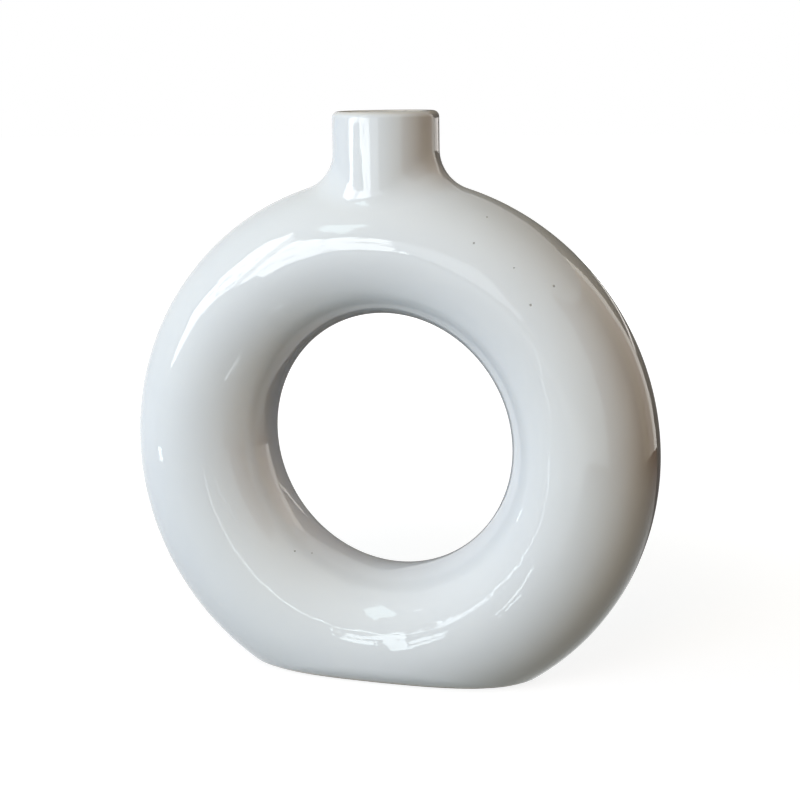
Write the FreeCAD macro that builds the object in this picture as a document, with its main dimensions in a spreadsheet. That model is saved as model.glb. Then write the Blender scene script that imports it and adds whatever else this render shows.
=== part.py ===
import FreeCAD, Part
import math
import os
import Sketcher

V = FreeCAD.Vector

# A donut vase: a hollow ring of round section that stands upright on a flat cut foot, with a short neck on top.
# Millimetres. The ring lies in the XZ plane and its front faces -Y. The origin is the middle of the foot,
# on the surface that the vase stands on.
DIMENSIONS = {
    # The ring's outline is a circle. The hole is a circle too, a little higher, so the limb is thickest at the foot.
    # The limb's thickness is the one that it has halfway up.
    "ring_diameter": 220.0,
    "limb_thickness": 57.8,
    "hole_rise": 3.15,
    # The neck stands on top of the ring and flows into it with a wide shoulder. Its width is a share of the limb's.
    "neck_width_share": 0.73,
    "neck_height": 25.2,
    "neck_shoulder": 16.8,
    # The wall is one thickness of slip-cast clay between an outer glaze and a liner glaze.
    "clay_wall": 4.2,
    "glaze_coat": 0.4,
    "liner_coat": 0.4,
    # The foot is cut flat and left bare. A shallow recess leaves a rim to stand on. The rounding of the foot's edge
    # is a share of the limb's thickness.
    "foot_cut": 17.2,
    "foot_rounding_share": 0.171,
    "foot_rim": 9.0,
    "recess_depth": 1.5,
    "recess_setback": 1.8,
    "bare_height": 2.0,
    # How far a cut runs past the face that it opens.
    "overrun": 5.0,
}

# The limb's round section is drawn at this many places round the ring.
SECTION_COUNT = 12

# An edge counts as lying on a face when this many points along it are this close to the face.
POINTS_ALONG_EDGE = 9
NEAR = 0.01

RING_RADIUS = "(sizes.ring_diameter / 2)"
HOLE_RADIUS = f"({RING_RADIUS} - sizes.limb_thickness)"
CENTRE_HEIGHT = f"({RING_RADIUS} - sizes.foot_cut)"
FOOT_ROUNDING = "(sizes.limb_thickness * sizes.foot_rounding_share)"
NECK_RADIUS = "(sizes.limb_thickness * sizes.neck_width_share / 2)"
TOP_HEIGHT = f"({CENTRE_HEIGHT} + {RING_RADIUS} + sizes.neck_height)"
WALL = "(sizes.glaze_coat + sizes.clay_wall + sizes.liner_coat)"

# The lip is a full round as wide as the wall, and this circle runs along its crown.
LIP_RADIUS = f"({WALL} / 2)"
CROWN_RADIUS = f"({NECK_RADIUS} - {LIP_RADIUS})"
LIP_HEIGHT = f"({TOP_HEIGHT} - {LIP_RADIUS})"

# The four nested forms: how deep each lies under the outer skin, and how high its floor is.
OUTER_DEPTH = "0"
CLAY_DEPTH = "sizes.glaze_coat"
CAVITY_DEPTH = "(sizes.glaze_coat + sizes.clay_wall)"
WATER_DEPTH = WALL
FOOT_LEVEL = "0"
CAVITY_FLOOR = "(sizes.recess_depth + sizes.clay_wall)"
WATER_FLOOR = f"({CAVITY_FLOOR} + sizes.liner_coat)"

doc = FreeCAD.newDocument("donut_vase")


def add_sheet():
    """The driving dimensions, one row each."""
    sheet = doc.addObject("Spreadsheet::Sheet", "sizes")
    for row, (name, size) in enumerate(DIMENSIONS.items(), start=1):
        sheet.set(f"A{row}", name)
        sheet.set(f"B{row}", str(size))
        sheet.setAlias(f"B{row}", name)
    doc.recompute()
    return sheet


def bind(item, **expressions):
    """Ties properties to the sheet. Two underscores stand for a dot."""
    for name, expression in expressions.items():
        path = name.replace("__", ".")
        item.setExpression("." + path if "." in path else path, expression)


def value(expression):
    return float(sheet.evalExpression(expression))


def origin_plane(body, role):
    return next(plane for plane in body.Origin.OriginFeatures if plane.Role == role)


def hole_reach(angle):
    """From the ring's centre to the hole's edge, in the direction at this angle above +X."""
    along = f"sizes.hole_rise * sin({angle} deg)"
    across = f"sizes.hole_rise * cos({angle} deg)"
    return f"({along} + sqrt({HOLE_RADIUS}^2 - ({across})^2))"


def limb_section(name, angle, depth):
    """One round section of the limb, from the hole's edge to the ring's outline, less the form's depth.

    A front arc and a back arc meet on the ring's middle plane.
    """
    section = doc.addObject("Sketcher::SketchObject", f"{name}_section_{angle:03.0f}")
    section.Placement = FreeCAD.Placement(V(0, 0, 0), FreeCAD.Rotation(V(0, -1, 0), angle))
    middle = f"({RING_RADIUS} + {hole_reach(angle)}) / 2"
    radius = f"({RING_RADIUS} - {hole_reach(angle)}) / 2 - {depth}"
    circle = Part.Circle(V(0, 0, 0), V(0, 0, 1), value(radius))
    for first_angle in (0, math.pi):
        arc = section.addGeometry(Part.ArcOfCircle(circle, first_angle, first_angle + math.pi))
        section.addConstraint(Sketcher.Constraint("Coincident", arc, 3, -1, 1))
        section.addConstraint(Sketcher.Constraint("PointOnObject", arc, 1, -1))
        section.addConstraint(Sketcher.Constraint("PointOnObject", arc, 2, -1))
        size = section.addConstraint(Sketcher.Constraint("Radius", arc, value(radius)))
        section.setExpression(f"Constraints[{size}]", radius)
    bind(
        section,
        Placement__Base__x=f"{middle} * cos({angle} deg)",
        Placement__Base__z=f"{CENTRE_HEIGHT} + {middle} * sin({angle} deg)",
    )
    return section


def limb_ring(name, depth):
    """The closed ring, drawn through its sections."""
    ring = doc.addObject("Part::Loft", f"{name}_ring")
    ring.Sections = [
        limb_section(name, index * 360 / SECTION_COUNT, depth) for index in range(SECTION_COUNT)
    ]
    ring.Solid = True
    ring.Closed = True
    return ring


def pin_to(sketch, geometry, point, across, up):
    """Holds one point of a sketch at a place given from the sketch's origin."""
    if across == "0":
        sketch.addConstraint(Sketcher.Constraint("PointOnObject", geometry, point, -2))
    else:
        place = Sketcher.Constraint("DistanceX", -1, 1, geometry, point, value(across))
        sketch.setExpression(f"Constraints[{sketch.addConstraint(place)}]", across)
    place = Sketcher.Constraint("DistanceY", -1, 1, geometry, point, value(up))
    sketch.setExpression(f"Constraints[{sketch.addConstraint(place)}]", up)


def add_outline(sketch, corners, arc):
    """A closed outline through corners, each tied to the sheet. The edge that follows corner arc is an arc.

    It bends about the crown of the lip, and it is a quarter of a circle.
    """
    points = [V(value(across), value(up), 0) for across, up in corners]
    ends = []
    for index, start in enumerate(points):
        end = points[(index + 1) % len(points)]
        if index != arc:
            geometry = sketch.addGeometry(Part.LineSegment(start, end))
            ends.append((geometry, 1, 2))
            continue
        centre = V(value(CROWN_RADIUS), value(LIP_HEIGHT), 0)
        circle = Part.Circle(centre, V(0, 0, 1), start.distanceToPoint(centre))
        turns_left = start.x > centre.x
        first_angle = 0 if turns_left else math.pi / 2
        geometry = sketch.addGeometry(Part.ArcOfCircle(circle, first_angle, first_angle + math.pi / 2))
        ends.append((geometry, 1, 2) if turns_left else (geometry, 2, 1))
        reach = Sketcher.Constraint("DistanceX", -1, 1, geometry, 3, centre.x)
        sketch.setExpression(f"Constraints[{sketch.addConstraint(reach)}]", CROWN_RADIUS)
    for (geometry, _, end), (follower, start, _) in zip(ends, ends[1:] + ends[:1]):
        sketch.addConstraint(Sketcher.Constraint("Coincident", geometry, end, follower, start))
    for (geometry, start, _), (across, up) in zip(ends, corners):
        pin_to(sketch, geometry, start, across, up)


def add_neck(body, name, depth, opens):
    """Turns the neck about its axis, from the limb's middle up to the lip.

    A form that stays closed at the top has the outer half of the lip's round on its edge. A form that opens
    there flares over the inner half of the lip.
    """
    root = f"({CENTRE_HEIGHT} + ({RING_RADIUS} + {HOLE_RADIUS} + sizes.hole_rise) / 2)"
    radius = f"({NECK_RADIUS} - {depth})"
    lip_top = f"({LIP_HEIGHT} + {depth} - {LIP_RADIUS})" if opens else f"({TOP_HEIGHT} - {depth})"
    corners = [("0", root), (radius, root), (radius, LIP_HEIGHT), (CROWN_RADIUS, lip_top)]
    if opens:
        top = f"({TOP_HEIGHT} + sizes.overrun)"
        corners += [(CROWN_RADIUS, top), ("0", top)]
    else:
        corners.append(("0", lip_top))
    sketch = body.newObject("Sketcher::SketchObject", f"{name}_neck_profile")
    sketch.AttachmentSupport = [(origin_plane(body, "XZ_Plane"), "")]
    sketch.MapMode = "FlatFace"
    add_outline(sketch, corners, arc=2)
    neck = body.newObject("PartDesign::Revolution", f"{name}_neck")
    neck.Profile = sketch
    neck.ReferenceAxis = (sketch, ["V_Axis"])
    neck.Angle = 360
    doc.recompute()
    return neck


def round_edges(body, name, base, edges, radius):
    """Rounds the listed edges of the body's last feature."""
    fillet = body.newObject("PartDesign::Fillet", name)
    fillet.Base = (base, edges)
    bind(fillet, Radius=radius)
    doc.recompute()
    return fillet


def edge_names(shape, wanted):
    return [f"Edge{number}" for number, edge in enumerate(shape.Edges, start=1) if wanted(edge)]


def is_straight(edge):
    return isinstance(edge.Curve, (Part.Line, Part.LineSegment))


def lies_level(height):
    """True for an edge that lies flat at this height."""
    level = value(height)
    return lambda edge: all(abs(point.z - level) < NEAR for point in edge.discretize(POINTS_ALONG_EDGE))


def joins_neck(depth):
    """True for an edge where the neck's side meets the limb: it climbs and dips at the neck's radius."""
    radius = value(f"{NECK_RADIUS} - {depth}")

    def wanted(edge):
        points = edge.discretize(POINTS_ALONG_EDGE)
        heights = [point.z for point in points]
        on_neck = all(abs(math.hypot(point.x, point.y) - radius) < NEAR for point in points)
        return on_neck and max(heights) - min(heights) > NEAR and not is_straight(edge)

    return wanted


def add_form(name, depth, floor, opens):
    """The vase's whole form at one depth under its outer skin: ring, foot and neck, as a filled solid."""
    ring = limb_ring(name, depth)
    doc.recompute()
    body = doc.addObject("PartDesign::Body", f"{name}_form")
    body.BaseFeature = ring
    foot = body.newObject("PartDesign::SubtractiveBox", f"{name}_foot")
    bind(
        foot,
        Length="sizes.ring_diameter",
        Width="sizes.ring_diameter",
        Height=RING_RADIUS,
        Placement__Base__x=f"-{RING_RADIUS}",
        Placement__Base__y=f"-{RING_RADIUS}",
        Placement__Base__z=f"{floor} - {RING_RADIUS}",
    )
    doc.recompute()
    foot_edges = edge_names(foot.Shape, lies_level(floor))
    round_edges(body, f"{name}_foot_rounding", foot, foot_edges, f"{FOOT_ROUNDING} - {depth}")
    neck = add_neck(body, name, depth, opens)
    neck_edges = edge_names(neck.Shape, joins_neck(depth))
    round_edges(body, f"{name}_shoulder", neck, neck_edges, f"sizes.neck_shoulder + {depth}")
    return body


def add_cut(name, base, tool):
    cut = doc.addObject("Part::Cut", name)
    cut.Base = base
    cut.Tool = tool
    return cut


def foot_recess():
    """The shallow oval recess under the foot. It follows the foot's flat, a rim's width inside it."""
    limb_radius = "((sizes.limb_thickness + sizes.hole_rise) / 2)"
    limb_height = f"({limb_radius} - sizes.foot_cut)"
    rounding = f"({FOOT_ROUNDING} - sizes.glaze_coat)"
    half_length = f"sqrt(({RING_RADIUS} - {FOOT_ROUNDING})^2 - ({CENTRE_HEIGHT} - {rounding})^2)"
    half_width = f"sqrt(({limb_radius} - {FOOT_ROUNDING})^2 - ({limb_height} - {rounding})^2)"
    sections = []
    for name, height, setback in (("mouth", "0", "0"), ("roof", "sizes.recess_depth", "sizes.recess_setback")):
        oval = doc.addObject("Part::Ellipse", f"recess_{name}")
        bind(
            oval,
            MajorRadius=f"{half_length} - sizes.foot_rim - {setback}",
            MinorRadius=f"{half_width} - sizes.foot_rim - {setback}",
            Placement__Base__z=height,
        )
        sections.append(oval)
    recess = doc.addObject("Part::Loft", "recess")
    recess.Sections = sections
    recess.Solid = True
    recess.Ruled = True
    return recess


def add_clay_body():
    """The slip-cast shell: one wall of clay all round, with the recess under its foot."""
    return add_cut("clay_body", add_cut("clay_shell", clay_form, cavity_form), foot_recess())


def add_outer_glaze():
    """The coat outside. It stops above the bare foot and runs up to the crown of the lip."""
    bare_foot = doc.addObject("Part::Box", "bare_foot")
    bind(
        bare_foot,
        Length="sizes.ring_diameter",
        Width="sizes.ring_diameter",
        Height="sizes.overrun + sizes.bare_height",
        Placement__Base__x=f"-{RING_RADIUS}",
        Placement__Base__y=f"-{RING_RADIUS}",
        Placement__Base__z="-sizes.overrun",
    )
    mouth = doc.addObject("Part::Cylinder", "mouth")
    bind(
        mouth,
        Radius=CROWN_RADIUS,
        Height=f"{LIP_RADIUS} + sizes.overrun",
        Placement__Base__z=LIP_HEIGHT,
    )
    coat = add_cut("outer_coat", outer_form, clay_form)
    return add_cut("outer_glaze", add_cut("coat_above_foot", coat, bare_foot), mouth)


def add_inner_glaze():
    """The liner: it coats the ring's hollow and the neck, and meets the outer coat on the crown of the lip."""
    return add_cut("inner_glaze", cavity_form, water_form)


def check_model(pieces):
    """Stops the build if a feature failed or a piece isn't one sound solid."""
    for item in doc.Objects:
        if "Invalid" in item.State or "Error" in item.State:
            raise RuntimeError(f"{item.Label} failed: {item.getStatusString()}")
    for piece in pieces:
        shape = piece.Shape
        if shape.isNull() or not shape.isValid() or len(shape.Solids) != 1:
            raise RuntimeError(f"{piece.Label} isn't one sound solid")


sheet = add_sheet()
outer_form = add_form("outer", OUTER_DEPTH, FOOT_LEVEL, opens=False)
clay_form = add_form("clay", CLAY_DEPTH, FOOT_LEVEL, opens=False)
cavity_form = add_form("cavity", CAVITY_DEPTH, CAVITY_FLOOR, opens=True)
water_form = add_form("water", WATER_DEPTH, WATER_FLOOR, opens=True)
pieces = [add_clay_body(), add_outer_glaze(), add_inner_glaze()]
doc.recompute()
check_model(pieces)

os.makedirs("parts", exist_ok=True)
for piece in pieces:
    piece.Shape.exportStep(f"parts/{piece.Label}.step")
    box = piece.Shape.optimalBoundingBox()
    print(piece.Label, f"volume {piece.Shape.Volume:.0f} mm3, faces {len(piece.Shape.Faces)},", box)
print(f"room inside, up to the overrun above the lip: {water_form.Shape.Volume / 1e6:.3f} litres")
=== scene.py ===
import math

import bmesh
import bpy
import numpy as np
from mathutils import Matrix, Vector


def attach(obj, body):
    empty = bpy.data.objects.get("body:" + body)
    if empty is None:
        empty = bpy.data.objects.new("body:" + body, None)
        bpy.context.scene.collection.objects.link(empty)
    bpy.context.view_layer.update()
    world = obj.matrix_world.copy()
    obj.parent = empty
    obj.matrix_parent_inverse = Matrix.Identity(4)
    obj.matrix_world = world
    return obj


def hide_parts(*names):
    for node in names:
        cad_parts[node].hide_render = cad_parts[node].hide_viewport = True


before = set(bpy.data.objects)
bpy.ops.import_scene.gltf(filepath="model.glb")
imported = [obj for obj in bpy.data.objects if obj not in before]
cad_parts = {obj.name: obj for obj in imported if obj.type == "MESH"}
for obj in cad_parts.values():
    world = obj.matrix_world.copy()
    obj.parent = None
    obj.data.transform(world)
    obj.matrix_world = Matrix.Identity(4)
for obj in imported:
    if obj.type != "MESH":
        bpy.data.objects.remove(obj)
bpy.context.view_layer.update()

MM = 0.001
QUARTER_TURN = math.pi / 2

# The vase's own sizes, in millimetres, as in the part's source.
RING_RADIUS = 110.0
LIMB = 57.8
HOLE_RISE = 3.15
FOOT_CUT = 17.2
NECK_WIDTH_SHARE = 0.73
NECK_HEIGHT = 25.2
SHOULDER = 16.8
FOOT_ROUNDING_SHARE = 0.171
COAT = 0.4
CLAY = 4.2
RECESS = 1.5
BARE_HEIGHT = 2.0
NECK_RADIUS = LIMB * NECK_WIDTH_SHARE / 2
FOOT_ROUNDING = LIMB * FOOT_ROUNDING_SHARE
HOLE_RADIUS = RING_RADIUS - LIMB
CENTRE = RING_RADIUS - FOOT_CUT
TOP = CENTRE + RING_RADIUS + NECK_HEIGHT
WALL = 2 * COAT + CLAY
LIP = WALL / 2
CROWN = NECK_RADIUS - LIP
LIP_HEIGHT = TOP - LIP

# The mesh: steps round the ring and round the limb, and half the width and depth, in those steps, of the
# patches that the neck and the foot open in it.
ROUND_RING = 340
ROUND_LIMB = 108
NECK_PATCH = (26, 23)
FOOT_PATCH = (40, 29)
# Rows of faces along each stretch of a skin.
PATCH_ROWS = 12
SHOULDER_ROWS = 16
NECK_ROWS = 12
LIP_ROWS = 10
FOOT_ROWS = 24
FLOOR_ROWS = 9
# Halvings in the search for a place on a skin, and a turn on the foot's rounding too small to count.
HALVINGS = 48
NEARLY_NOTHING = 1e-9

# The photograph's camera, fitted to the vase's outline in it: angles in degrees, the point it looks at in
# millimetres from the ring's centre, its distance in metres, and its focal length in the picture's pixels.
CAMERA_YAW = 18.991
CAMERA_PITCH = 10.626
CAMERA_ROLL = 0.867
CAMERA_AIM_ACROSS = 4.221
CAMERA_AIM_RISE = 19.811
CAMERA_DISTANCE = 0.7
FOCAL_PIXELS = 1732.138
PICTURE_PIXELS = 800
SENSOR_WIDTH = 36.0
CLIP_START = 0.01
CLIP_END = 50

# The room. What lights the vase and what its glaze mirrors are set apart, as lamps and cards can be.
WHITE = (1.0, 1.0, 1.0)
FLOOR_REACH = 6.0
FLOOR_GLOW = (0.86, 0.86, 0.86)
FLOOR_PLAIN = (0.3, 0.3, 0.3)
FLOOR_BOUNCE = (0.02, 0.02, 0.02)
ROOM_LIGHT = (0.02, 0.02, 0.02)
# The floor's glow rises to white between these distances from the middle of the foot, in metres.
GLOW_RISES_FROM = 0.15
GLOW_RISES_TO = 0.5

# Cards and windows stand round the vase, in places given by azimuth, radius and height. Azimuths are in
# degrees from the front towards +X, radii and heights in metres, and a glow of 1 is white.
ROOM_RADIUS = 0.62
ROOM_TOP = 0.62
NEAR_RADIUS = 0.15
CARD_FOOT = 0.001
TABLE_TOP = 0.0015
CARD_STEPS = 30
# Upright cards that only the glaze mirrors: first and last azimuth, lowest and highest point, radius, glow.
CARDS = {
    "brown_card": (52, 108, CARD_FOOT, ROOM_TOP, ROOM_RADIUS, (0.25, 0.1, 0.05)),
    "warm_card": (108, 120, CARD_FOOT, ROOM_TOP, ROOM_RADIUS, (0.85, 0.68, 0.5)),
    "paler_card": (120, 133, CARD_FOOT, ROOM_TOP, ROOM_RADIUS, (1.3, 1.1, 0.95)),
    "light_card": (133, 143.5, CARD_FOOT, ROOM_TOP, ROOM_RADIUS, (2.2, 2.1, 1.95)),
    "rear_card": (143.5, 206, CARD_FOOT, ROOM_TOP, ROOM_RADIUS, (0.16, 0.15, 0.13)),
    "rear_light": (145, 172, 0.19, 0.222, 0.61, (2.2, 2.1, 2.0)),
    "white_low": (-42, -29.5, 0.1, 0.135, 0.1, WHITE),
    "white_left": (-75, -60, CARD_FOOT, 0.128, NEAR_RADIUS, WHITE),
    "white_middle": (-60, -38, CARD_FOOT, 0.158, NEAR_RADIUS, WHITE),
    "white_near": (-38, -29, CARD_FOOT, 0.15, NEAR_RADIUS, WHITE),
    "white_next": (-29, -24, CARD_FOOT, 0.134, NEAR_RADIUS, WHITE),
    "white_right": (-24, 22, CARD_FOOT, 0.114, NEAR_RADIUS, WHITE),
    "white_upper": (-60, 5, 0.31, 0.47, 0.2, WHITE),
}
# Level cards of the same kind: first and last azimuth, inner and outer radius, height, glow, and, for one
# that changes outwards, the glow at its outer radius.
LEVEL_CARDS = {
    "side_table": (20, 140, 0.03, ROOM_RADIUS, TABLE_TOP, (0.92, 0.95, 0.93), (0.25, 0.12, 0.07)),
    "rear_table": (140, 215, 0.12, ROOM_RADIUS, TABLE_TOP, (0.15, 0.14, 0.13)),
    "shelf": (-38, 18, 0.095, 0.1485, 0.078, WHITE),
}

# Windows that only the glaze mirrors: glow, then rungs. A rung gives the azimuth and the height, this time
# in millimetres, of its two ends.
WINDOW_RADIUS = 0.48
WINDOW_GLOW = (7.0, 7.3, 7.5)
WINDOWS = {
    "window_left": (WINDOW_GLOW, [(-64.5, 141, -64.5, 240), (-62, 139, -62, 290), (-58, 160, -58, 380),
                                  (-56, 177, -56, 450), (-53, 209, -53, 460), (-47, 221, -47, 477),
                                  (-41.5, 221, -41.5, 420)]),
    "window_bar": ((3.8, 3.9, 4.0), [(-41.5, 221, -41.5, 420), (-37, 200, -37, 380)]),
    "window_right": (WINDOW_GLOW, [(-37, 200, -37, 385), (-33, 190, -33, 345), (-27, 145, -27, 320),
                                   (-20, 150, -20, 300), (-15, 155, -15, 290)]),
}
PLAIN_WINDOWS = {
    "window_far": ((2.4, 2.5, 2.6), [(-15, 155, -15, 290), (-4, 150, -4, 300), (3, 160, 3, 315)]),
    "skylight": ((3.7, 4.4, 4.5), [(-22.6, 569, -22.6, 573), (-24.4, 360, -42.6, 741),
                                   (-36, 458, -36, 462)]),
}
# The leaves behind a window: scale, detail and roughness of their noise, where in it shade turns to light,
# and how bright the shade is.
LEAVES = (40.0, 4.0, 0.6)
LEAF_EDGES = (0.38, 0.44)
LEAF_SHADE = 0.3

# Bright strips near the vase's foot, in front of the white cards, with rungs as in the windows.
STRIP_RADIUS = 0.149
STRIP_GLOW = (6.0, 6.6, 6.8)
DIM_STRIP_GLOW = (3.0, 3.3, 3.4)
STRIPS = {
    "long_strip": [(-17.0, 42, -17.3, 32), (-16.2, 51, -16.1, 37), (-15.8, 56, -14.6, 38),
                   (-17.3, 67, -12.8, 40), (-19.5, 75, -14.2, 48), (-20.5, 77, -16.0, 58),
                   (-19.2, 69, -14.7, 54), (-17.6, 63, -13.5, 54), (-21.7, 67, -18.8, 63)],
    "patch": [(-16.1, 60, -13.8, 28), (-14.1, 38, -11.6, 1), (-14.4, 48, -10.2, 4)],
    "short_strip": [(-11.6, 26, -10.6, 16), (-10.9, 37, -9.1, 27)],
    "low_strip": [(-11.0, 8, -10.5, 1), (-8.6, 24, -7.6, 18)],
    "left_strip": [(-17.8, 32, -18.1, 22), (-15.6, 31, -15.5, 17)],
    "first_line": [(3.8, 13, 5.4, 10), (4.7, 26, 6.7, 22), (2.8, 40, 5.3, 37)],
    "second_line": [(7.3, 6, 8.7, 2), (9.1, 19, 10.8, 16)],
    "side_spot": [(-72.0, 84, -69.0, 84), (-71.2, 75, -68.1, 75)],
}
DIM_STRIPS = {
    "hole_line": [(15.5, 127, 16.5, 128), (3.8, 95, 5.4, 97), (-3.4, 78, -1.6, 79), (-2.9, 70, -1.2, 71),
                  (5.2, 63, 6.6, 63)],
}

# Soft lamps, which the glaze doesn't mirror: azimuth, elevation, width and height in degrees, and radiance.
# They look at the middle of the vase from a distance in metres.
AIM = Vector((0, 0, 0.11))
FAR = 1.6
SOFT = {
    "soft_side": (-75, 8, 30, 30, (3.05, 2.7, 2.5)),
    "soft_window": (-50, 8, 30, 30, (2.1, 2.3, 2.6)),
    "soft_key": (-27, 5, 26, 26, (2.55, 4.4, 6.0)),
    "soft_upper": (-27, 36, 30, 30, (0.0, 0.75, 1.7)),
    "soft_front": (-2, 8, 26, 26, (3.0, 2.55, 1.3)),
    "soft_top": (0, 38, 30, 30, (5.1, 4.35, 3.75)),
    "soft_right": (30, 15, 34, 34, (0.25, 0.1, 0.0)),
    "soft_high": (-60, 72, 34, 34, (0.33, 0.38, 0.0)),
    "soft_back": (180, 10, 44, 26, (3.6, 3.6, 3.6)),
}

# The glazes: their colours, what shows of the clay where they run thin, and the clouds and waves in them,
# each as scale, detail and roughness of a noise.
OUTER_TINT = (0.74, 0.745, 0.75)
LINER_TINT = (0.73, 0.73, 0.72)
WARM_RIM = (0.66, 0.58, 0.49)
GLAZE_ROUGHNESS = 0.03
GLAZE_IOR = 1.52
CLOUD = (14.0, 3.0, 0.5)
CLOUD_EDGES = (0.3, 0.7)
CLOUD_SHADE = (0.965, 0.97, 0.985)
WAVE = (38.0, 2.0, 0.45)
WAVE_HEIGHT = 0.00035
RIPPLE = (150.0, 2.0, 0.5)
RIPPLE_SHARE = 0.12
# The glaze runs thin over the lip's crown and at its edge above the foot, over these heights in millimetres.
THIN_BELOW_TOP = 1.6
THINNEST_BELOW_TOP = 0.1
THIN_ABOVE_EDGE = 1.4
THIN_SHARE = 0.55
# Small open pores in the outer coat, near those that the photograph shows: place and radius in millimetres.
PINHOLES = [(42.9, -23.8, 179.0, 0.45), (45.5, -14.9, 188.1, 0.35), (58.4, -23.6, 169.9, 0.3),
            (73.0, -20.2, 163.0, 0.5), (65.6, -26.3, 156.4, 0.5), (-36.2, -17.3, 51.1, 0.4),
            (-30.3, -13.4, 49.6, 0.3)]
# A pore sets in between these shares of its radius, takes that share of its dark colour, and is as deep as
# that share of the waves' height.
PIT_EDGES = (1.3, 0.5)
PIT_COLOUR = (0.22, 0.19, 0.16)
PIT_SHARE = 0.7
PIT_DEPTH = 0.4

# The bare clay: two tones in clouds, dark flecks and a fine grain.
CLAY_LIGHT = (0.66, 0.6, 0.51)
CLAY_DARK = (0.56, 0.5, 0.42)
CLAY_CLOUD = (60.0, 4.0, 0.5)
# As the clouds run from the first of these to the second, the roughness runs from the third to the fourth.
CLAY_ROUGHNESS = (0.2, 0.8, 0.78, 0.94)
FLECK = (1400.0, 2.0, 0.6)
FLECK_EDGES = (0.62, 0.74)
FLECK_COLOUR = (0.34, 0.27, 0.2)
FLECK_SHARE = 0.5
GRAIN = (1800.0, 3.0, 0.6)
GRAIN_HEIGHT = 0.0002
GRAIN_STRENGTH = 0.5


# Camera and lamps

def aim(obj, eye, target):
    """Puts an object at eye, looking at target along its -Z."""
    obj.location = eye
    obj.rotation_euler = (target - eye).to_track_quat("-Z", "Y").to_euler()


def make_camera():
    """The photograph's view."""
    yaw, pitch, roll = (math.radians(angle) for angle in (CAMERA_YAW, CAMERA_PITCH, CAMERA_ROLL))
    back = Vector((math.sin(yaw) * math.cos(pitch), -math.cos(yaw) * math.cos(pitch), math.sin(pitch)))
    forward = -back
    right = forward.cross(Vector((0, 0, 1))).normalized()
    down = forward.cross(right)
    across = right * math.cos(roll) + down * math.sin(roll)
    up = right * math.sin(roll) - down * math.cos(roll)
    eye = Vector((CAMERA_AIM_ACROSS, 0, CAMERA_AIM_RISE + CENTRE)) * MM + back * CAMERA_DISTANCE
    data = bpy.data.cameras.new("camera")
    data.sensor_width = SENSOR_WIDTH
    data.lens = SENSOR_WIDTH * FOCAL_PIXELS / PICTURE_PIXELS
    data.clip_start = CLIP_START
    data.clip_end = CLIP_END
    camera = bpy.data.objects.new("camera", data)
    bpy.context.scene.collection.objects.link(camera)
    turn = Matrix((across, up, back)).transposed().to_4x4()
    camera.matrix_world = Matrix.Translation(eye) @ turn
    bpy.context.scene.camera = camera


def on_the_sky(azimuth, elevation):
    """The point where a soft lamp at that azimuth and elevation hangs."""
    az, el = math.radians(azimuth), math.radians(elevation)
    direction = Vector((math.sin(az) * math.cos(el), -math.cos(az) * math.cos(el), math.sin(el)))
    return AIM + direction * FAR


def span(angle):
    """The width that fills an angle at a soft lamp's distance."""
    return 2 * FAR * math.tan(math.radians(angle) / 2)


def soft_lamp(name, azimuth, elevation, width, height, colour):
    """A soft rectangular lamp that lights the vase and has no mirror image in it."""
    data = bpy.data.lights.new(name, "AREA")
    data.shape = "RECTANGLE"
    data.size = span(width)
    data.size_y = span(height)
    strength = max(colour)
    data.color = [part / strength for part in colour]
    data.energy = strength * math.pi * data.size * data.size_y
    lamp = bpy.data.objects.new(name, data)
    bpy.context.scene.collection.objects.link(lamp)
    aim(lamp, on_the_sky(azimuth, elevation), AIM)
    lamp.visible_camera = False
    lamp.visible_glossy = False


# Node helpers

class Nodes:
    """Short spelling for building a node tree."""

    def __init__(self, tree):
        self.tree = tree
        tree.nodes.clear()

    def add(self, kind, **settings):
        node = self.tree.nodes.new(kind)
        for key, value in settings.items():
            setattr(node, key, value)
        return node

    def link(self, source, target):
        self.tree.links.new(source, target)

    def set(self, socket, value):
        """Gives a socket a plain number or colour, or links it to another socket."""
        if isinstance(value, (int, float)):
            socket.default_value = value
        elif isinstance(value, tuple):
            socket.default_value = (*value, 1)
        else:
            self.link(value, socket)

    def math(self, operation, first, second):
        node = self.add("ShaderNodeMath", operation=operation)
        self.set(node.inputs[0], first)
        self.set(node.inputs[1], second)
        return node.outputs[0]

    def mix(self, factor, first, second):
        node = self.add("ShaderNodeMix", data_type="RGBA")
        for socket, value in ((node.inputs[0], factor), (node.inputs[6], first), (node.inputs[7], second)):
            self.set(socket, value)
        return node.outputs[2]

    def noise(self, vector, scale, detail, rough):
        node = self.add("ShaderNodeTexNoise")
        node.inputs["Scale"].default_value = scale
        node.inputs["Detail"].default_value = detail
        node.inputs["Roughness"].default_value = rough
        self.link(vector, node.inputs["Vector"])
        return node.outputs["Fac"]

    def ramp(self, value, low, high, to_low=0.0, to_high=1.0):
        node = self.add("ShaderNodeMapRange", clamp=True, interpolation_type="SMOOTHSTEP")
        self.link(value, node.inputs["Value"])
        for key, number in (("From Min", low), ("From Max", high), ("To Min", to_low), ("To Max", to_high)):
            node.inputs[key].default_value = number
        return node.outputs["Result"]

    def place(self):
        """The place on the object, in its own metres."""
        return self.add("ShaderNodeTexCoord").outputs["Object"]

    def away(self):
        """The distance from the object's origin."""
        node = self.add("ShaderNodeVectorMath", operation="LENGTH")
        self.link(self.place(), node.inputs[0])
        return node.outputs["Value"]

    def bump(self, height, distance, strength):
        node = self.add("ShaderNodeBump")
        node.inputs["Strength"].default_value = strength
        node.inputs["Distance"].default_value = distance
        self.link(height, node.inputs["Height"])
        return node.outputs[0]


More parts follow.
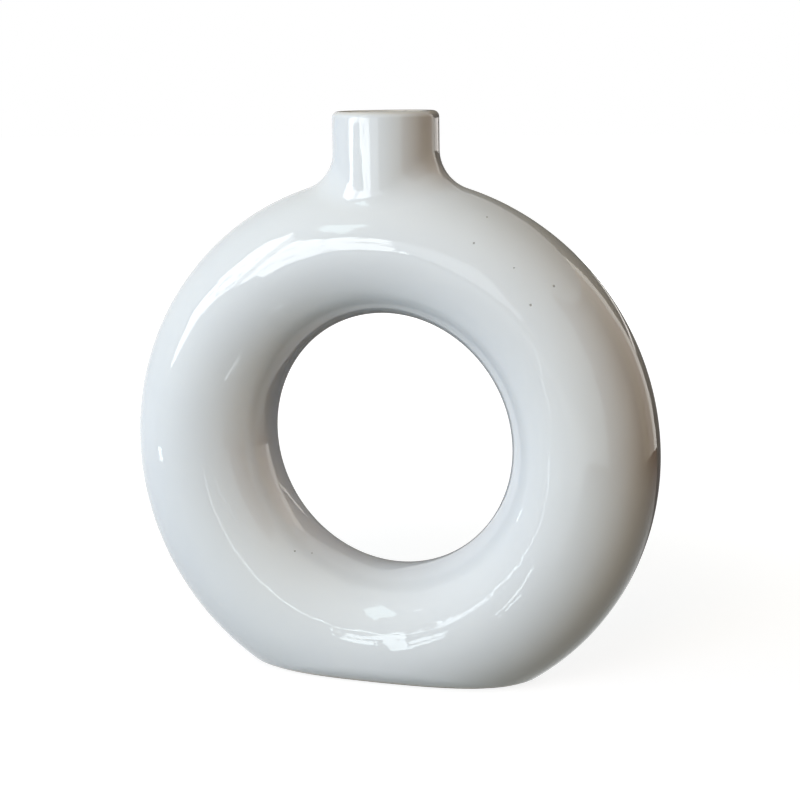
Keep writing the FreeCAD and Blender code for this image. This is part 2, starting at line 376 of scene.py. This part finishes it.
def material(name):
    made = bpy.data.materials.new(name)
    made.use_nodes = True
    nodes = Nodes(made.node_tree)
    shader = nodes.add("ShaderNodeBsdfPrincipled")
    output = nodes.add("ShaderNodeOutputMaterial")
    nodes.link(shader.outputs[0], output.inputs[0])
    return made, nodes, shader


# The room

def seen_as_background(nodes):
    """1 for a ray that shows the background: to the camera, in a mirror reflection or through glass."""
    path = nodes.add("ShaderNodeLightPath")
    seen = nodes.math("MAXIMUM", path.outputs["Is Camera Ray"], path.outputs["Is Glossy Ray"])
    return nodes.math("MAXIMUM", seen, path.outputs["Is Transmission Ray"])


def make_world():
    """White to the camera and in mirror reflections, and an even dim room to what it lights."""
    world = bpy.data.worlds.new("room")
    bpy.context.scene.world = world
    world.use_nodes = True
    nodes = Nodes(world.node_tree)
    back = nodes.add("ShaderNodeBackground")
    nodes.link(nodes.mix(seen_as_background(nodes), ROOM_LIGHT, WHITE), back.inputs["Color"])
    output = nodes.add("ShaderNodeOutputWorld")
    nodes.link(back.outputs[0], output.inputs[0])


def stage_mesh(name, points, faces, build):
    """A piece of the set, with a material that build(nodes) ends in a shader."""
    data = bpy.data.meshes.new(name)
    data.from_pydata(points, [], faces)
    made = bpy.data.materials.new(name)
    made.use_nodes = True
    nodes = Nodes(made.node_tree)
    output = nodes.add("ShaderNodeOutputMaterial")
    nodes.link(build(nodes), output.inputs[0])
    data.materials.append(made)
    thing = bpy.data.objects.new(name, data)
    bpy.context.scene.collection.objects.link(thing)
    return thing


def make_floor():
    """The pale floor. Its own glow makes it white, and its plain half keeps the vase's shadow."""
    def build(nodes):
        seen = seen_as_background(nodes)
        plain = nodes.add("ShaderNodeBsdfDiffuse")
        nodes.link(nodes.mix(seen, (0, 0, 0), FLOOR_PLAIN), plain.inputs["Color"])
        glow = nodes.add("ShaderNodeEmission")
        white = nodes.mix(nodes.ramp(nodes.away(), GLOW_RISES_FROM, GLOW_RISES_TO), FLOOR_GLOW, WHITE)
        nodes.link(nodes.mix(seen, FLOOR_BOUNCE, white), glow.inputs["Color"])
        both = nodes.add("ShaderNodeAddShader")
        nodes.link(plain.outputs[0], both.inputs[0])
        nodes.link(glow.outputs[0], both.inputs[1])
        return both.outputs[0]

    far = FLOOR_REACH
    corners = [(-far, -far, 0), (far, -far, 0), (far, far, 0), (-far, far, 0)]
    stage_mesh("floor", corners, [(0, 1, 2, 3)], build)


def only_mirrored(thing):
    """Keeps a card or window out of everything but the glaze's reflections."""
    thing.visible_camera = False
    thing.visible_diffuse = False
    thing.visible_transmission = False
    thing.visible_shadow = False


def round_the_vase(azimuth, radius, height):
    az = math.radians(azimuth)
    return radius * math.sin(az), -radius * math.cos(az), height


def make_card(name, points, colour, leafy=False, fade=None):
    """A band of quads, from points in pairs, whose light only the glaze mirrors. A leafy one is a window.

    A fade gives two distances from the origin and the colour that the card takes between them."""
    def build(nodes):
        glow = nodes.add("ShaderNodeEmission")
        nodes.set(glow.inputs["Color"], colour)
        if fade:
            near, far, far_colour = fade
            share = nodes.ramp(nodes.away(), near, far)
            nodes.link(nodes.mix(share, colour, far_colour), glow.inputs["Color"])
        if leafy:
            leaves = nodes.ramp(nodes.noise(nodes.place(), *LEAVES), *LEAF_EDGES, LEAF_SHADE)
            nodes.link(leaves, glow.inputs["Strength"])
        return glow.outputs[0]

    faces = [(k, k + 2, k + 3, k + 1) for k in range(0, len(points) - 2, 2)]
    only_mirrored(stage_mesh(name, points, faces, build))


def steps_between(first, last):
    return [first + (last - first) * step / CARD_STEPS for step in range(CARD_STEPS + 1)]


def upright_card(name, first, last, low, high, radius, colour):
    angles = steps_between(first, last)
    points = [round_the_vase(angle, radius, height) for angle in angles for height in (low, high)]
    make_card(name, points, colour)


def level_card(name, first, last, inner, outer, height, colour, far_colour=None):
    angles = steps_between(first, last)
    points = [round_the_vase(angle, radius, height) for angle in angles for radius in (inner, outer)]
    make_card(name, points, colour, fade=far_colour and (inner, outer, far_colour))


def make_pane(name, radius, rungs, colour, leafy=False):
    """A window or strip: each rung gives the azimuth and the height in millimetres of its two ends."""
    ends = [end for rung in rungs for end in (rung[:2], rung[2:])]
    points = [round_the_vase(azimuth, radius, height * MM) for azimuth, height in ends]
    make_card(name, points, colour, leafy)


def make_room():
    make_world()
    make_floor()
    for name, settings in CARDS.items():
        upright_card(name, *settings)
    for name, settings in LEVEL_CARDS.items():
        level_card(name, *settings)
    for name, (colour, rungs) in WINDOWS.items():
        make_pane(name, WINDOW_RADIUS, rungs, colour, leafy=True)
    for name, (colour, rungs) in PLAIN_WINDOWS.items():
        make_pane(name, WINDOW_RADIUS, rungs, colour)
    for name, rungs in STRIPS.items():
        make_pane(name, STRIP_RADIUS, rungs, STRIP_GLOW)
    for name, rungs in DIM_STRIPS.items():
        make_pane(name, STRIP_RADIUS, rungs, DIM_STRIP_GLOW)
    for name, settings in SOFT.items():
        soft_lamp(name, *settings)


# The vase's form

def limb(theta, phi, depth):
    """Points of the ring's skin, that far under its outside: theta round the ring, phi round the limb."""
    reach = HOLE_RISE * np.sin(theta) + np.sqrt(HOLE_RADIUS**2 - (HOLE_RISE * np.cos(theta)) ** 2)
    middle = (RING_RADIUS + reach) / 2
    radius = (RING_RADIUS - reach) / 2 - depth
    out = middle + radius * np.cos(phi)
    return np.stack([out * np.cos(theta), radius * np.sin(phi), CENTRE + out * np.sin(theta)], axis=-1)


def solve(test):
    """The share from 0 to 1 at which test(share) turns from negative to positive, for each column."""
    low = np.zeros(test(0.0).shape)
    high = np.ones(low.shape)
    for _ in range(HALVINGS):
        middle = (low + high) / 2
        above = test(middle) > 0
        high = np.where(above, middle, high)
        low = np.where(above, low, middle)
    return (low + high) / 2


def turn_between(first, second, share):
    """Unit directions on the way from first to second."""
    angle = np.arccos(np.clip((first * second).sum(-1), -1, 1))[:, None]
    share = np.broadcast_to(np.asarray(share, float), angle.shape[:1])[:, None]
    return (np.sin((1 - share) * angle) * first + np.sin(share * angle) * second) / np.sin(angle)


class Skin:
    """One skin of the vase at one depth under its outside, as rows of points that share columns.

    It ends at the lip's crown. At the foot it stops open at a height, or it closes over a floor."""

    def __init__(self, depth, lip_start, lip_turn, floor=0.0, stop=None):
        self.points = []
        self.faces = []
        self.count = 0
        self.depth = depth
        grid = self.ring_grid()
        top = self.patch_rim(grid, ROUND_RING // 4, NECK_PATCH)
        low = self.patch_rim(grid, 3 * ROUND_RING // 4, FOOT_PATCH)
        self.lip_edge = self.add_neck(top, lip_start, lip_turn)
        self.foot_edge = self.add_foot(low, floor, stop)

    def add_points(self, points):
        self.points.append(points)
        self.count += len(points)
        return np.arange(self.count - len(points), self.count)

    def add_row(self, last, points):
        """A row of points beside the last one, with quads between the two closed rows."""
        fresh = self.add_points(points)
        after = np.roll(np.arange(len(last)), -1)
        self.faces += np.stack([last, last[after], fresh[after], fresh], axis=-1).tolist()
        return fresh

    def ring_grid(self):
        """The limb's grid of points and faces, without what lies inside the two patches."""
        steps_t, steps_p = np.arange(ROUND_RING), np.arange(ROUND_LIMB)
        hidden = np.zeros((ROUND_RING, ROUND_LIMB), bool)
        gone = np.zeros((ROUND_RING, ROUND_LIMB), bool)
        for centre, (wide, deep) in ((ROUND_RING // 4, NECK_PATCH), (3 * ROUND_RING // 4, FOOT_PATCH)):
            across = np.abs(steps_t - centre)[:, None]
            around = np.minimum(steps_p, ROUND_LIMB - steps_p)[None, :]
            hidden |= (across < wide) & (around < deep)
            cell_t = steps_t[:, None] - centre
            cell_p = np.where(steps_p < ROUND_LIMB // 2, steps_p, steps_p - ROUND_LIMB)[None, :]
            gone |= (cell_t >= -wide) & (cell_t < wide) & (cell_p >= -deep) & (cell_p < deep)
        theta = steps_t[:, None] * 2 * math.pi / ROUND_RING + 0 * steps_p[None, :]
        phi = steps_p[None, :] * 2 * math.pi / ROUND_LIMB + 0 * steps_t[:, None]
        points = limb(theta, phi, self.depth)
        grid = np.full(hidden.shape, -1)
        grid[~hidden] = self.add_points(points[~hidden])
        for i in steps_t:
            for j in steps_p:
                if not gone[i, j]:
                    a, b = (i + 1) % ROUND_RING, (j + 1) % ROUND_LIMB
                    self.faces.append([int(grid[i, j]), int(grid[a, j]), int(grid[a, b]), int(grid[i, b])])
        return grid

    def patch_rim(self, grid, centre, patch):
        """The grid points round a patch, its middle's angle, and their angles from its middle."""
        wide, deep = patch
        steps = [(i, -deep) for i in range(-wide, wide)]
        steps += [(wide, j) for j in range(-deep, deep)]
        steps += [(i, deep) for i in range(wide, -wide, -1)]
        steps += [(-wide, j) for j in range(deep, -deep, -1)]
        steps = np.array(steps)
        names = grid[(centre + steps[:, 0]) % ROUND_RING, steps[:, 1] % ROUND_LIMB]
        across = steps[:, 0] * 2 * math.pi / ROUND_RING
        around = steps[:, 1] * 2 * math.pi / ROUND_LIMB
        return names, centre * 2 * math.pi / ROUND_RING, across, around

    def on_limb(self, rim, share, deeper=0.0):
        """Points on the limb, at shares of the way from a patch's middle to its rim."""
        _, centre, across, around = rim
        return limb(centre + across * share, around * share, self.depth + deeper)

    def add_neck(self, rim, lip_start, lip_turn):
        """The shoulder, the straight neck and this skin's half of the lip's round."""
        radius = NECK_RADIUS - self.depth
        shoulder = SHOULDER + self.depth
        reach = radius + shoulder

        def ball(share):
            return self.on_limb(rim, share, -shoulder)

        start = solve(lambda share: np.hypot(ball(share)[:, 0], ball(share)[:, 1]) - reach)
        middle = ball(start)
        first = (self.on_limb(rim, start) - middle) / shoulder
        inward = -middle * [1, 1, 0] / reach
        way = -inward
        last = rim[0]
        for row in range(1, PATCH_ROWS + 1):
            last = self.add_row(last, self.on_limb(rim, 1 + (start - 1) * (row / PATCH_ROWS)))
        for row in range(1, SHOULDER_ROWS + 1):
            last = self.add_row(last, middle + shoulder * turn_between(first, inward, row / SHOULDER_ROWS))
        for row in range(1, NECK_ROWS + 1):
            rise = middle[:, 2] + (LIP_HEIGHT - middle[:, 2]) * row / NECK_ROWS
            last = self.add_row(last, way * radius + np.stack([0 * rise, 0 * rise, rise], axis=-1))
        crown = way * CROWN + [0, 0, LIP_HEIGHT]
        size = abs(radius - CROWN)
        for row in range(1, LIP_ROWS + 1):
            angle = lip_start + lip_turn * row / LIP_ROWS
            last = self.add_row(last, crown + size * (way * math.cos(angle) + [0, 0, math.sin(angle)]))
        return last

    def add_foot(self, rim, floor, stop):
        """The rounding into the foot, down to the stop, or else all of it and the floor beyond."""
        rounding = FOOT_ROUNDING - self.depth

        def ball(share):
            return self.on_limb(rim, share, rounding)

        start = solve(lambda share: ball(share)[:, 2] - floor - rounding)
        middle = ball(start)
        first = (self.on_limb(rim, start) - middle) / rounding
        down = np.broadcast_to([0.0, 0.0, -1.0], first.shape)
        end = np.ones(len(first))
        if stop is not None:
            end = solve(lambda share: stop - (middle + rounding * turn_between(first, down, share))[:, 2])
            start = np.maximum(start, solve(lambda share: self.on_limb(rim, share)[:, 2] - stop))
        last = rim[0]
        for row in range(1, FOOT_ROWS + 1):
            way = (1 + end) * row / FOOT_ROWS
            turned = np.maximum(way - 1, 0)
            flat = self.on_limb(rim, 1 + (start - 1) * np.minimum(way, 1))
            rounded = middle + rounding * turn_between(first, down, turned)
            last = self.add_row(last, np.where(turned[:, None] > NEARLY_NOTHING, rounded, flat))
        if stop is not None:
            return last
        edge = self.points[-1]
        for row in range(1, FLOOR_ROWS):
            share = 1 - row / FLOOR_ROWS
            last = self.add_row(last, edge * [share, share, 1])
        hub = self.add_points(np.array([[0.0, 0.0, floor]]))[0]
        self.faces += [[int(a), int(b), int(hub)] for a, b in zip(last, np.roll(last, -1))]
        return None


def join_skins(name, front, rear, stand_for):
    """A closed coat between two skins of the same columns. It takes the place of a CAD node."""
    points = np.concatenate(front.points + rear.points) * MM
    faces = [list(face) for face in front.faces]
    faces += [[corner + front.count for corner in reversed(face)] for face in rear.faces]
    for one, two in ((front.lip_edge, rear.lip_edge), (front.foot_edge, rear.foot_edge)):
        if one is None:
            continue
        after = np.roll(np.arange(len(one)), -1)
        other = two + front.count
        faces += np.stack([one, one[after], other[after], other], axis=-1).tolist()
    data = bpy.data.meshes.new(name)
    data.from_pydata(points.tolist(), [], faces)
    bm = bmesh.new()
    bm.from_mesh(data)
    bmesh.ops.recalc_face_normals(bm, faces=bm.faces)
    bm.to_mesh(data)
    bm.free()
    data.shade_smooth()
    piece = bpy.data.objects.new(name, data)
    bpy.context.scene.collection.objects.link(piece)
    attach(piece, "root")
    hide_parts(stand_for)
    return piece


# The glazes and the clay

def pit_mask(nodes, place, pits):
    """1 in the pores and 0 elsewhere."""
    mask = None
    for *spot, size in pits:
        gap = nodes.add("ShaderNodeVectorMath", operation="DISTANCE")
        nodes.link(place, gap.inputs[0])
        gap.inputs[1].default_value = [part * MM for part in spot]
        hole = nodes.ramp(gap.outputs["Value"], *(edge * size * MM for edge in PIT_EDGES))
        mask = hole if mask is None else nodes.math("MAXIMUM", mask, hole)
    return mask


def glaze_material(name, tint, pits=()):
    """A glossy coat, faintly clouded and wavy, that runs thin at the lip and at the foot."""
    made, nodes, shader = material(name)
    place = nodes.place()
    cloud = nodes.ramp(nodes.noise(place, *CLOUD), *CLOUD_EDGES)
    colour = nodes.mix(cloud, tint, tuple(part * shade for part, shade in zip(tint, CLOUD_SHADE)))
    split = nodes.add("ShaderNodeSeparateXYZ")
    nodes.link(place, split.inputs[0])
    height = split.outputs["Z"]
    crown = nodes.ramp(height, (TOP - THIN_BELOW_TOP) * MM, (TOP - THINNEST_BELOW_TOP) * MM)
    foot = nodes.ramp(height, (BARE_HEIGHT + THIN_ABOVE_EDGE) * MM, BARE_HEIGHT * MM)
    thin = nodes.math("MULTIPLY", nodes.math("MAXIMUM", crown, foot), THIN_SHARE)
    colour = nodes.mix(thin, colour, WARM_RIM)
    ripple = nodes.math("MULTIPLY", nodes.noise(place, *RIPPLE), RIPPLE_SHARE)
    surface = nodes.math("ADD", nodes.noise(place, *WAVE), ripple)
    if pits:
        mask = pit_mask(nodes, place, pits)
        colour = nodes.mix(nodes.math("MULTIPLY", mask, PIT_SHARE), colour, PIT_COLOUR)
        surface = nodes.math("SUBTRACT", surface, nodes.math("MULTIPLY", mask, PIT_DEPTH))
    nodes.link(colour, shader.inputs["Base Color"])
    nodes.link(nodes.bump(surface, WAVE_HEIGHT, 1.0), shader.inputs["Normal"])
    shader.inputs["Roughness"].default_value = GLAZE_ROUGHNESS
    shader.inputs["IOR"].default_value = GLAZE_IOR
    return made


def clay_material():
    """Bare fired clay, matt, with flecks and a fine grain."""
    made, nodes, shader = material("bare_clay")
    place = nodes.place()
    cloud = nodes.noise(place, *CLAY_CLOUD)
    fleck = nodes.ramp(nodes.noise(place, *FLECK), *FLECK_EDGES)
    colour = nodes.mix(cloud, CLAY_LIGHT, CLAY_DARK)
    colour = nodes.mix(nodes.math("MULTIPLY", fleck, FLECK_SHARE), colour, FLECK_COLOUR)
    nodes.link(colour, shader.inputs["Base Color"])
    nodes.link(nodes.ramp(cloud, *CLAY_ROUGHNESS), shader.inputs["Roughness"])
    grain = nodes.bump(nodes.noise(place, *GRAIN), GRAIN_HEIGHT, GRAIN_STRENGTH)
    nodes.link(grain, shader.inputs["Normal"])
    return made


def make_coats():
    """The two glaze coats, each between two skins, and smooth where the CAD's nodes have facets."""
    cavity_floor = RECESS + CLAY
    outside = Skin(0.0, 0.0, QUARTER_TURN, stop=BARE_HEIGHT)
    under_coat = Skin(COAT, 0.0, QUARTER_TURN, stop=BARE_HEIGHT)
    coat = join_skins("outer_coat", outside, under_coat, "outer_glaze")
    coat.data.materials.append(glaze_material("outer_glaze", OUTER_TINT, PINHOLES))
    lining = Skin(WALL, math.pi, -QUARTER_TURN, floor=cavity_floor + COAT)
    under_lining = Skin(COAT + CLAY, math.pi, -QUARTER_TURN, floor=cavity_floor)
    liner = join_skins("liner_coat", lining, under_lining, "inner_glaze")
    liner.data.materials.append(glaze_material("liner_glaze", LINER_TINT))


def dress_clay():
    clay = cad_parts["clay_body"]
    clay.data.materials.clear()
    clay.data.materials.append(clay_material())


# The scene

bpy.context.scene.view_settings.view_transform = "Standard"
make_camera()
make_room()
make_coats()
dress_clay()
